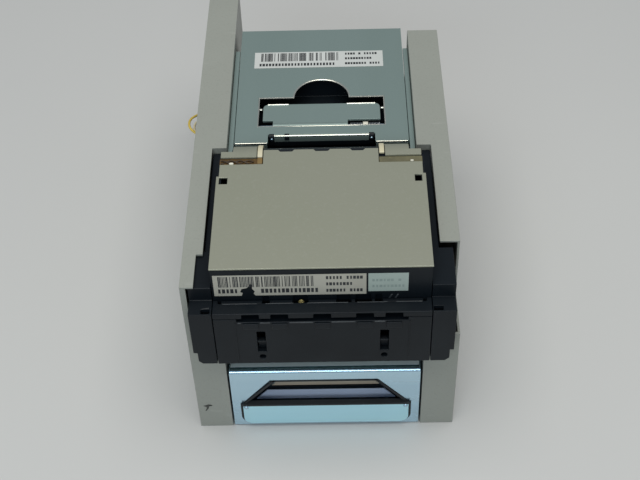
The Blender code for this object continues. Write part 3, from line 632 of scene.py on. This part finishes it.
lid_z = 104.1
lid_label = [(-37.0, 164.0), (34.0, 164.0), (34.0, 178.0), (-37.0, 178.0)]
fitted("stacker_label", plate(bmesh.new(), "z", lid_label, (lid_z + 0.02, lid_z + 0.14)), "stacker",
       paper, 0.0)
ink_z = lid_z + 0.16
printed("stacker_barcode", "stacker", (-33.8, 173.4, ink_z), 66, (0.66, 0, 0), (0.36, 7.2, 0.03), (0.6, 1.7), 0.78, 3)
printed("stacker_print_1", "stacker", (-33.6, 166.8, ink_z), 24, (1.75, 0, 0), (1.0, 2.3, 0.03), (0.8, 1.4), 0.96, 5)
for row, (y, count, seed) in enumerate(((175.6, 12, 8), (171.4, 10, 11), (167.0, 13, 14))):
    printed("stacker_print_%d" % (row + 2), "stacker", (13.6, y, ink_z), count, (1.5, 0, 0), (0.9, 1.8, 0.03),
            (0.8, 1.4), 0.92, seed)

# ---------------------------------------------------------------- stacker handle
# A flat stamped steel handle that folds up on a steel pin. Its near edge is rolled round the pin, and a
# torsion spring with a white bush sits in the notch at its right corner and holds it down.

eased("handle", 0.35, steel, name="stacker_handle")
# The far roll and the stops take the same metal, partly rubbed wear and partly painted highlight.
for end, x in (("left", (-28.6, -17.6)), ("right", (13.6, 28.6))):
    rolled_edge("handle_far_roll_" + end, [(x[0], 134.2), (x[1], 134.2)], 102.75, 0.5, "handle", rubbed)
    ear = sorted(math.copysign(reach, x[0]) for reach in (31.3, 33.2))
    stop = slab(bmesh.new(), ear, (129.6, 131.0), (102.0, 103.3))
    fitted("handle_stop_" + end, stop, "stacker", rubbed, 0.4)


def spring_round(name, axis_at, x, radius, wire, turns, legs, body, finish):
    """A torsion spring wound round a pin that lies along x."""
    points = []
    steps = int(turns * 14)
    for i in range(steps + 1):
        angle = 2 * math.pi * i / 14
        points.append((x[0] + (x[1] - x[0]) * i / steps, axis_at[0] + radius * math.cos(angle),
                       axis_at[1] + radius * math.sin(angle)))
    points = [legs[0], *points, legs[1]]
    coil = lead(name, points, wire, finish)
    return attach(coil, body)


pin_axis = (117.6, 101.4)
for end, x in (("inner", (15.4, 21.2)), ("outer", (25.0, 30.4))):
    spring_round("handle_spring_" + end, pin_axis, x, 1.5, 0.3, 7, ((x[0], 121.0, 101.0), (x[1], 120.6, 101.0)),
                 "stacker", spring_steel)
bush = lathed(bmesh.new(), "x", pin_axis, [(0.95, 21.7), (1.9, 21.7), (2.1, 21.9), (2.1, 24.2), (1.9, 24.4),
                                           (0.95, 24.4)])
# ---------------------------------------------------------------- note transport, pusher and drives
# Inside the stacker a rubber-faced drum turns the note down, and a rack-driven plate presses it onto the
# stack. A small motor drives the rack shaft by a toothed belt.

nylon = surface("natural nylon", (tint(226, 222, 206), tint(214, 209, 190)), 40.0, (0.36, 0.46), grain=1600.0,
                relief=0.006)
nickel = surface("nickel-plated can", (tint(188, 188, 182), tint(168, 168, 162)), 26.0, (0.22, 0.34), metal=1.0,
                 grain=1400.0, lay=(1, 0.1, 0.1), relief=0.005)
fitted("handle_bush", bush, "stacker", nylon, 0.0)
eased("transport_drum", 0.0, rubber)
eased("pusher_plate", 0.25, steel)
eased("pusher_shaft", 0.12, steel)
eased("stacker_pulley", 0.25, nylon)
eased("motor_pulley", 0.25, nylon)
eased("stacker_motor", 0.0, nickel)
eased("stacker_belt", 0.1, rubber)

# ---------------------------------------------------------------- note entrance
# The black block that takes the note in: two cheeks, a sill with the lower lip of the mouth, and an upper
# lip. All are moulded in glass-filled plastic, with pockets and ribs where the moulding was cored out.

cheek_pocket = ((-55.6, -51.6), (51.0, 55.4))
for side, x in zip(("left", "right"), cheek_pocket):
    eased("cheek_" + side, 0.5, black_plastic, cutters=[slab(bmesh.new(), x, (-7.2, -4.6), (92.0, 100.0))])

SLOT_X, MOUTH_EDGE = 28.7, 40.2
lamp_holes = [lathed(bmesh.new(), "y", (side * SLOT_X, 67.0), [(1.5, -9.0), (1.5, -5.0)], 20) for side in (-1, 1)]
eased("lower_entrance", 0.4, black_plastic, cutters=lamp_holes)
trough = slab(bmesh.new(), (-48.0, 48.0), (-1.4, 3.0), (95.4, 100.0))
eased("upper_entrance", 0.35, black_plastic, cutters=[trough])


def rib_row(name, boxes, body, edge=0.3):
    shape = bmesh.new()
    for x, y, z in boxes:
        slab(shape, x, y, z)
    return fitted(name, shape, body, black_plastic, edge)


front = -8.0
sill_places = (-33, -19.6, 0, 19.6, 33)
rib_row("sill_ribs", [((x - 3.6, x + 3.6), (front - 0.7, front + 0.2), (87.6, 91.4)) for x in sill_places],
        "head")
rib_row("sill_panel_lines", [((side * MOUTH_EDGE - 0.3, side * MOUTH_EDGE + 0.3), (front - 0.25, front + 0.2),
                              (64.0, 91.8)) for side in (-1, 1)], "head", 0.1)
rib_row("slot_steps", [((side * SLOT_X - 1.9, side * SLOT_X + 1.9), (front + 2.6, front + 4.0), (70.8, 77.0))
                       for side in (-1, 1)], "head", 0.2)
rib_row("slot_bars", [((side * SLOT_X - 2.0, side * SLOT_X + 2.0), (front + 0.5, front + 1.6), (77.1, 78.1))
                      for side in (-1, 1)], "head", 0.2)
# Walls stand across the trough behind the upper lip, with open pockets between them.
walls = [(-46.5, -27.6), (-24.0, -13.6), (-6.2, 6.5), (13.5, 15.2), (23.0, 24.3), (27.9, 46.5)]
rib_row("trough_walls", [(x, (-1.3, 0.6), (95.3, 97.7)) for x in walls], "head", 0.25)
# Lighter grey on the mouth's ledges is partly rubbed wear, partly painted highlight.
wear_and_highlight = surface("rubbed black plastic", (tint(66, 70, 73), tint(44, 48, 51)), 160.0, (0.26, 0.36), grain=2600.0,
               relief=0.012)
edges = bmesh.new()
for start, end in ((-39.0, -37.4), (-28.6, -24.0), (-15.2, -4.2), (4.2, 15.2), (24.0, 28.8)):
    slab(edges, (start, end), (front - 0.06, front + 0.3), (91.2, 91.9))
for start, end in ((-46.0, -30.0), (-26.0, -13.0), (-7.0, 12.0), (16.0, 30.0), (34.0, 46.0)):
    slab(edges, (start, end), (-1.9, -1.46), (97.75, 98.05))
fitted("worn_edges", edges, "head", wear_and_highlight, 0.12)

brass = surface("dull brass", (tint(150, 138, 92), tint(122, 112, 74)), 60.0, (0.34, 0.46), metal=0.8, grain=1200.0,
                relief=0.004)


def pan_head(radius, height, recess=0.55):
    """A pan-head screw with its crossed recess."""
    shape = lathed(bmesh.new(), "z", (0.0, 0.0), [(0.0, height), (radius * 0.55, height * 0.97),
                                                  (radius * 0.85, height * 0.72), (radius, height * 0.3),
                                                  (radius, 0.0)], 24)
    head = template("pan_head", shape)
    reach = radius * recess
    for a, b in ((reach, reach * 0.28), (reach * 0.28, reach)):
        cross = slab(bmesh.new(), (-a, a), (-b, b), (height * 0.45, height * 1.4))
        for corner in cross.verts:
            corner.co.y -= FRONT * MM
        carve(head, cross)
    return head


screw = pan_head(1.5, 1.1)
set_in("trough_screw", screw, UP, [(-9.6, -0.2, 96.6)], "head", brass)

# ---------------------------------------------------------------- head, fixed part
# The lower half of the head is a black moulding with the note bed on top. Feed belts run in two slots,
# and a geared motor turns the rear shaft. A circuit board and a steel cover close it underneath.

eased("lower_guide", 0.4, black_plastic)
eased("bottom_cover", 0.3, steel)
eased("side_rail_left", 0.5, black_plastic)
eased("side_rail_right", 0.5, black_plastic)
eased("hinge_shaft", 0.0, steel)
eased("feed_belt_left", 0.15, rubber)
eased("feed_belt_right", 0.15, rubber)
eased("feed_motor", 0.0, nickel)
eased("front_feed_roller", 0.2, nylon)
eased("rear_feed_roller", 0.2, nylon)
eased("feed_gear", 0.1, nylon)
eased("motor_pinion", 0.1, steel)
resist = surface("green solder resist", (tint(34, 96, 62), tint(28, 82, 54), tint(120, 150, 110)), 60.0, (0.24, 0.36),
                 grain=900.0, relief=0.01, fleck=0.3)
eased("main_board", 0.15, resist)
chip_black = surface("chip epoxy", (tint(38, 38, 40), tint(30, 30, 32)), 80.0, (0.45, 0.6), grain=2400.0,
                     relief=0.006)
solder = surface("tinned copper", (tint(206, 206, 204), tint(188, 188, 186)), 80.0, (0.2, 0.34), metal=1.0,
                 grain=1500.0, relief=0.004)


def chips(name, body, top, parts):
    """Chips, capacitors and connectors on a board, with their legs."""
    bodies, legs = bmesh.new(), bmesh.new()
    for x, y, width, depth, height in parts:
        slab(bodies, (x - width / 2, x + width / 2), (y - depth / 2, y + depth / 2), (top + 0.3, top + height))
        count = max(2, int(width / 1.6))
        for i in range(count):
            leg = x - width / 2 + (i + 0.5) * width / count
            slab(legs, (leg - 0.25, leg + 0.25), (y - depth / 2 - 1.0, y + depth / 2 + 1.0), (top, top + 0.7))
    fitted(name + "_chips", bodies, body, chip_black, 0.15)
    fitted(name + "_legs", legs, body, solder, 0.0)


chips("main_board", "head", 66.1, ((-22.0, 24.0, 14.0, 9.0, 2.2), (4.0, 22.0, 9.0, 6.0, 1.8),
                                   (-20.0, 46.0, 10.0, 10.0, 2.0), (6.0, 46.0, 16.0, 7.0, 2.2)))

# ---------------------------------------------------------------- head, hinged part
# The upper half carries the sensors, the pinch rollers and its own board. It is closed by a plain steel
# cover in front and by two short covers that are rolled down round the hinge.

front_pockets = [(-27.3, -24.3), (-13.3, -6.5), (6.8, 13.2), (15.5, 22.7), (24.6, 27.6)]
eased("upper_shell", 0.45, black_plastic,
      cutters=[slab(bmesh.new(), x, (0.0, 2.5), (93.0, 100.5)) for x in front_pockets])
# The struts take the same lighter grey, partly wear and partly painted highlight.
struts = bmesh.new()
for x in (30.6, 33.4):
    plate(struts, "y", [(x, 97.6), (x + 0.8, 97.6), (x + 2.0, 100.2), (x + 1.2, 100.2)], (0.75, 1.1))
fitted("shell_struts", struts, "upper_guide", wear_and_highlight, 0.1)
sheet_tones = (tint(168, 168, 150), tint(160, 161, 143), tint(178, 178, 164))
cover_steel = surface("zinc-coated cover sheet", sheet_tones, 16.0, (0.34, 0.46), metal=0.45, grain=1100.0,
                      relief=0.010, wave=0.05, fleck=0.2)
eased("top_cover", 0.34, cover_steel, name="head_cover")
eased("hinge_cover_left", 0.3, cover_steel, name="hinge_cover_left_rolled")
eased("hinge_cover_right", 0.3, cover_steel, name="hinge_cover_right_rolled")
eased("upper_board", 0.15, resist)
eased("pinch_roller_front", 0.2, nylon)
eased("pinch_roller_rear", 0.2, nylon)
eased("release_lever", 0.2, nylon)
chips("upper_board", "upper_guide", 106.0, ((-24.0, 22.0, 14.0, 9.0, 2.2), (2.0, 20.0, 9.0, 6.0, 1.8),
                                           (24.0, 22.0, 12.0, 12.0, 2.0), (-18.0, 48.0, 18.0, 7.0, 2.4),
                                           (16.0, 48.0, 10.0, 10.0, 2.0)))

# Two natural nylon fingers stand between the covers, and guide the note under the stacker's edge.
arc_y, arc_z = 78.0, 105.0
old_nylon = surface("aged nylon", (tint(222, 214, 190), tint(206, 196, 160)), 30.0, (0.4, 0.5), grain=1500.0,
                    relief=0.006)
for side, name, start in ((-1, "left", 75.4), (1, "right", 77.0)):
    outside = [(start, 117.9), (start, 119.0), *corner_arc((arc_y, arc_z), 14.3, 90, -62, 10)]
    inside = corner_arc((arc_y, arc_z), 12.95, 28, 62, 10)
    ends = sorted((side * 28.7, side * 31.2))
    fitted("guide_finger_" + name, plate(bmesh.new(), "x", outside + inside, ends), "upper_guide",
           old_nylon, 0.3)

# In the gap in front of the rolled covers a film holds the flat cable down, and two thin leads cross it.
film_body = {"left": (tint(118, 88, 44), tint(78, 58, 30), tint(140, 112, 64)),
             "right": (tint(118, 113, 86), tint(98, 94, 72), tint(140, 134, 104))}
for side, name in ((-1, "left"), (1, "right")):
    film = surface("cable film, " + name, film_body[name], 90.0, (0.22, 0.36), grain=700.0, relief=0.02, wave=0.2,
                   fleck=0.3)
    ends = sorted((side * 28.6, side * 49.6))
    strip = plate(bmesh.new(), "z", [(ends[0], 70.5), (ends[1], 70.5), (ends[1], 75.2), (ends[0], 75.2)],
                  (117.62, 117.8))
    fitted("cable_film_" + name, strip, "upper_guide", film, 0.0)
# A brown nylon foot, darker than the finger, stands in front of the left finger.
brown_nylon = surface("browned nylon", (tint(150, 124, 76), tint(116, 92, 52)), 90.0, (0.36, 0.5), grain=900.0, relief=0.01)
finger_foot = slab(bmesh.new(), (-31.2, -28.7), (71.0, 75.2), (117.8, 118.6))
fitted("finger_foot", finger_foot, "upper_guide", brown_nylon, 0.3)
dark_pvc = pvc("brown lead", tint(78, 58, 34), tint(58, 43, 27))
for strand in range(2):
    points = []
    for i in range(41):
        x = -49.0 + 16.0 * i / 40
        phase = 2 * math.pi * i / 22 + math.pi * strand
        points.append((x, 72.6 + 0.9 * math.cos(phase), 118.2 + 0.3 * math.sin(phase)))
    strand_wire = lead("hinge_lead_%d" % (strand + 1), points, 0.34, dark_pvc)
    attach(strand_wire, "upper_guide")
sleeve_profile = [(0.0, -45.0), (0.5, -44.8), (0.7, -44.2), (0.7, -43.2), (0.5, -42.8), (0.0, -42.6)]
sleeve = lathed(bmesh.new(), "x", (70.9, 118.6), sleeve_profile, 16)
fitted("lead_sleeve", sleeve, "upper_guide", nylon, 0.0)
tip = lathed(bmesh.new(), "x", (71.4, 118.3), [(0.0, 43.6), (0.5, 43.8), (0.6, 44.4), (0.5, 45.2), (0.0, 45.4)], 14)
fitted("film_tip", tip, "upper_guide", nylon, 0.0)

# ---------------------------------------------------------------- head labels
# A long paper label with a bar code across the front of the head, torn at its lower edge, and a small
# pale green one beside it.

face = 1.0
tear = [(-49.3, 100.8), (-36.8, 100.8), (-36.2, 102.6), (-37.4, 103.2), (-36.6, 105.4), (-34.2, 106.0),
        (-33.0, 107.4), (-32.2, 109.4), (-31.6, 107.2), (-31.8, 105.6), (-30.6, 103.6), (-31.2, 102.2),
        (-30.4, 100.8), (20.4, 100.8),
        (20.4, 114.6), (-49.3, 114.6)]
aged_paper = surface("aged label paper", (tint(190, 186, 172), tint(178, 174, 160), tint(160, 156, 144)), 40.0,
                     (0.55, 0.68), grain=3000.0, relief=0.004, fleck=0.1)
fitted("head_label", plate(bmesh.new(), "y", tear, (face - 0.14, face - 0.02)), "upper_guide", aged_paper,
       0.0)
green_paper = surface("pale green paper", (tint(176, 188, 180), tint(166, 179, 170), tint(150, 160, 152)), 40.0,
                      (0.5, 0.62), grain=3000.0, relief=0.004, fleck=0.08)
faded_ink = surface("faded ink", (tint(138, 152, 146), tint(150, 164, 156)), 80.0, (0.5, 0.6), grain=2500.0,
                    relief=0.002)
note_label = [(21.3, 102.5), (39.5, 102.5), (39.5, 114.6), (21.3, 114.6)]
fitted("inspection_label", plate(bmesh.new(), "y", note_label, (face - 0.14, face - 0.02)), "upper_guide",
       green_paper, 0.0)
ink_y = face - 0.16
printed("head_barcode", "upper_guide", (-46.8, ink_y, 110.2), 66, (0.66, 0, 0), (0.36, 0.03, 7.0), (0.6, 1.7),
        0.78, 21)
printed("head_print_1", "upper_guide", (-46.8, ink_y, 104.0), 5, (1.9, 0, 0), (1.1, 0.03, 2.8), (0.8, 1.4), 1.0, 23)
printed("head_print_2", "upper_guide", (-27.0, ink_y, 104.0), 14, (1.9, 0, 0), (1.1, 0.03, 2.8), (0.8, 1.4), 0.96, 25)
for row, (z, count, seed) in enumerate(((112.2, 11, 31), (108.0, 8, 33), (103.6, 11, 35))):
    printed("head_print_%d" % (row + 3), "upper_guide", (2.6, ink_y, z), count, (1.55, 0, 0), (0.95, 0.03, 2.0),
            (0.8, 1.4), 0.94, seed)
for row, (z, count, seed) in enumerate(((110.0, 8, 41), (106.0, 9, 43))):
    printed("inspection_print_%d" % (row + 1), "upper_guide", (23.6, ink_y, z), count, (1.7, 0, 0),
            (1.0, 0.03, 1.6), (0.8, 1.4), 0.9, seed, faded_ink)

for shape in templates:
    bpy.data.objects.remove(shape)

# ---------------------------------------------------------------- counter, lights and camera
# A pale counter under a broad ceiling light, with a weak fill from the front.

counter = bpy.data.meshes.new("counter")
counter.from_pydata([(-3, -3, 0), (3, -3, 0), (3, 3, 0), (-3, 3, 0)], [], [(0, 1, 2, 3)])
laminate = surface("pale laminate", (tint(208, 207, 203), tint(203, 202, 199)), 1.2, (0.42, 0.5), grain=600.0,
                   relief=0.004)
counter.materials.append(laminate)
counter_top = bpy.data.objects.new("counter", counter)
bpy.context.scene.collection.objects.link(counter_top)

world = bpy.data.worlds.new("room")
world.use_nodes = True
world.node_tree.nodes["Background"].inputs["Color"].default_value = (0.80, 0.88, 1.0, 1.0)
world.node_tree.nodes["Background"].inputs["Strength"].default_value = 0.30
bpy.context.scene.world = world


def area_light(name, place, aim, size, power, colour):
    """A soft rectangular light, turned towards a point."""
    lamp = bpy.data.lights.new(name, "AREA")
    lamp.shape, lamp.size, lamp.size_y = "RECTANGLE", size[0], size[1]
    lamp.energy, lamp.color = power, colour
    holder = bpy.data.objects.new(name, lamp)
    holder.location = place
    holder.rotation_euler = (Vector(aim) - Vector(place)).to_track_quat("-Z", "Y").to_euler()
    bpy.context.scene.collection.objects.link(holder)
    return holder


CEILING_WATTS, FILL_WATTS = 15.5, 4.4
CEILING_TONE, FILL_TONE = (1.0, 0.985, 0.93), (0.76, 0.90, 1.0)
area_light("ceiling", (0.0, -0.25, 1.5), (0.0, -0.05, 0.05), (1.5, 1.1), CEILING_WATTS, CEILING_TONE)
area_light("front_fill", (-0.15, -1.2, 0.85), (0.0, -0.1, 0.05), (0.9, 0.25), FILL_WATTS, FILL_TONE)

camera = bpy.data.cameras.new("camera")
LENS_MM, SENSOR_MM = 67.93, 36.0
CAMERA_PLACE = (0.009594, -0.477240, 0.517274)
camera.lens, camera.sensor_width = LENS_MM, SENSOR_MM
camera.clip_start, camera.clip_end = 0.01, 20.0
PITCH, YAW, ROLL = math.radians(46.131), math.radians(1.497), math.radians(-2.074)
viewer = bpy.data.objects.new("camera", camera)
viewer.matrix_world = (Matrix.Translation(CAMERA_PLACE) @ Matrix.Rotation(YAW, 4, "Z")
                       @ Matrix.Rotation(math.pi / 2 - PITCH, 4, "X") @ Matrix.Rotation(ROLL, 4, "Z"))
bpy.context.scene.collection.objects.link(viewer)
bpy.context.scene.camera = viewer
bpy.context.scene.view_settings.view_transform = "Standard"
